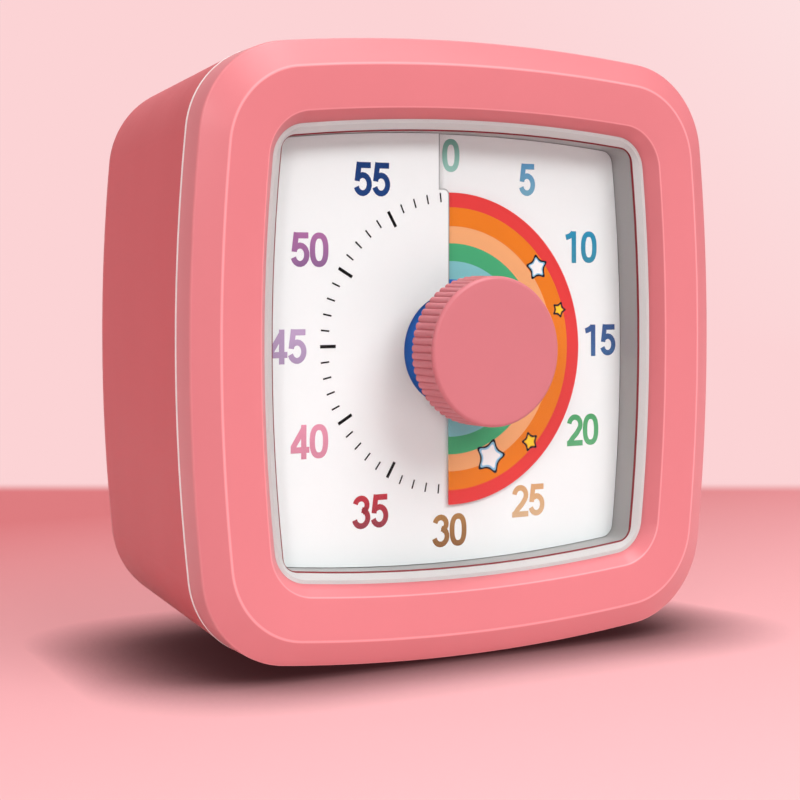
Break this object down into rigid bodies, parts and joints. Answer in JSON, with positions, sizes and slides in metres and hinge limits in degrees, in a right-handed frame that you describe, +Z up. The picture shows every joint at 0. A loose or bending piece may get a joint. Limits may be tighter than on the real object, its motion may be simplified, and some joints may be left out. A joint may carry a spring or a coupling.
{
  "type": "visual countdown timer",
  "caption": "Square bow-sided desk timer: a front knob winds a coloured disc out of a slit dial to show the time left; quartz movement, buzzer and cell inside.",
  "frame": {"origin": "centre of the bounding box in X and Y, on the surface the timer stands on", "axes": "+X to the right seen from the front, the front faces -Y, +Z up"},
  "size_m": [0.088, 0.05, 0.0883],
  "materials": {
    "pink_plastic": "satin",
    "white_plastic": "satin",
    "printed_disc": "printed bands",
    "clear_window": "clear",
    "natural_plastic": "natural",
    "black_plastic": "fine grain",
    "steel": "plated",
    "brass": "drawn",
    "copper_wire": "enamelled wire",
    "board": "solder mask",
    "cell_wrap": "plain wrap"
  },
  "bodies": {
    "housing": {"front_bezel": "pink_plastic", "lens": "clear_window", "inner_frame": "white_plastic", "dial_plate": "white_plastic", "chassis_plate": "white_plastic", "movement_case_front": "natural_plastic", "movement_case_back": "natural_plastic", "gear_bridge": "natural_plastic", "stator": "steel", "coil": "copper_wire", "circuit_board": "board", "control_chip": "black_plastic", "quartz_crystal": "steel", "contact_leaf": "brass", "contact_anvil": "brass", "rear_shell": "pink_plastic", "battery_cell": "cell_wrap", "battery_contact_positive": "steel", "battery_spring": "steel", "piezo_buzzer": "black_plastic", "volume_switch_body": "black_plastic", "rear_screws": "steel", "chassis_screws": "steel", "movement_screws": "steel"},
    "spindle": {"spindle": "brass", "knob": "pink_plastic", "clutch_spring": "steel", "trip_cam": "brass"},
    "disc": {"time_disc": "printed_disc", "disc_hub": "white_plastic"},
    "centre_wheel": {"centre_wheel": "natural_plastic"},
    "third_wheel": {"third_wheel": "natural_plastic"},
    "second_wheel": {"second_wheel": "natural_plastic"},
    "intermediate_wheel": {"intermediate_wheel": "natural_plastic"},
    "rotor": {"rotor": "steel"},
    "door": {"battery_door": "pink_plastic"},
    "slider": {"volume_slider": "black_plastic"}
  },
  "joints": [
    {"name": "knob_turn", "type": "hinge", "parent": "housing", "child": "spindle", "pos_m": [0, -0.008, 0.0443], "axis": [0, 1, 0], "range_deg": [-180, 180]},
    {"name": "disc_draw", "type": "slide", "parent": "spindle", "child": "disc", "axis": [0, -1, 0], "range_m": [-0.00071, 0.00071]},
    {"name": "rotor_turn", "type": "hinge", "parent": "housing", "child": "rotor", "pos_m": [0.01417, -0.008, 0.04133], "axis": [0, 1, 0], "continuous": true},
    {"name": "intermediate_wheel_turn", "type": "hinge", "parent": "housing", "child": "intermediate_wheel", "pos_m": [0.01292, -0.008, 0.04842], "axis": [0, 1, 0], "continuous": true},
    {"name": "second_wheel_turn", "type": "hinge", "parent": "housing", "child": "second_wheel", "pos_m": [0.00811, -0.008, 0.0553], "axis": [0, 1, 0], "continuous": true},
    {"name": "third_wheel_turn", "type": "hinge", "parent": "housing", "child": "third_wheel", "pos_m": [0, -0.008, 0.0575], "axis": [0, 1, 0], "continuous": true},
    {"name": "centre_wheel_turn", "type": "hinge", "parent": "housing", "child": "centre_wheel", "pos_m": [0, -0.008, 0.0443], "axis": [0, 1, 0], "continuous": true},
    {"name": "battery_door_swing", "type": "hinge", "parent": "housing", "child": "door", "pos_m": [0, 0.02315, 0.0232], "axis": [-1, 0, 0], "range_deg": [0, 80]},
    {"name": "volume_slide", "type": "slide", "parent": "housing", "child": "slider", "axis": [1, 0, 0], "range_m": [-0.0024, 0.0024]}
  ],
  "couplings": [
    {"joint": "disc_draw", "follows": "knob_turn", "m_per_rad": 0.00022282},
    {"joint": "intermediate_wheel_turn", "follows": "rotor_turn", "ratio": -0.2},
    {"joint": "second_wheel_turn", "follows": "rotor_turn", "ratio": 0.033333},
    {"joint": "third_wheel_turn", "follows": "rotor_turn", "ratio": -0.0055556},
    {"joint": "centre_wheel_turn", "follows": "rotor_turn", "ratio": 0.00055556}
  ]
}
